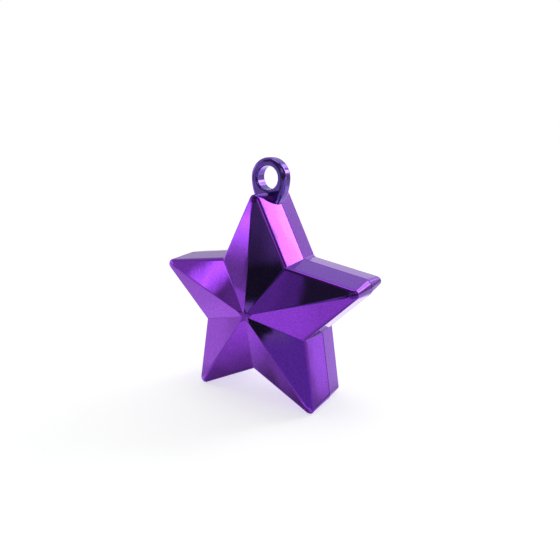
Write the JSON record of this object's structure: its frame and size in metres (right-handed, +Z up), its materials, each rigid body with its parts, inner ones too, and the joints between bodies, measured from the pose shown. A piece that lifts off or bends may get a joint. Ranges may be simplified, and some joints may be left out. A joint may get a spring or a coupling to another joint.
{
  "type": "balloon weight",
  "caption": "Star-shaped balloon weight of moulded half shells with faceted faces, a hanging loop in its top point for ribbon, and mortar ballast inside.",
  "frame": {"origin": "on the floor below the centre of the seam between the two half shells", "axes": "+Z up through the hanging loop, -Y out of the front face, +X to the right seen from the front"},
  "size_m": [0.087, 0.0388, 0.0959],
  "materials": {
    "shell_metallised": "moulded plastic with a metallised purple coating, satin gloss",
    "loop_metallised": "moulded plastic with a metallised purple coating, gloss",
    "mortar": "cast mortar, matt and grainy"
  },
  "bodies": {
    "root": {"front_shell": "shell_metallised", "rear_shell": "shell_metallised", "hanging_loop": "loop_metallised", "front_ballast": "mortar", "rear_ballast": "mortar"}
  },
  "joints": []
}
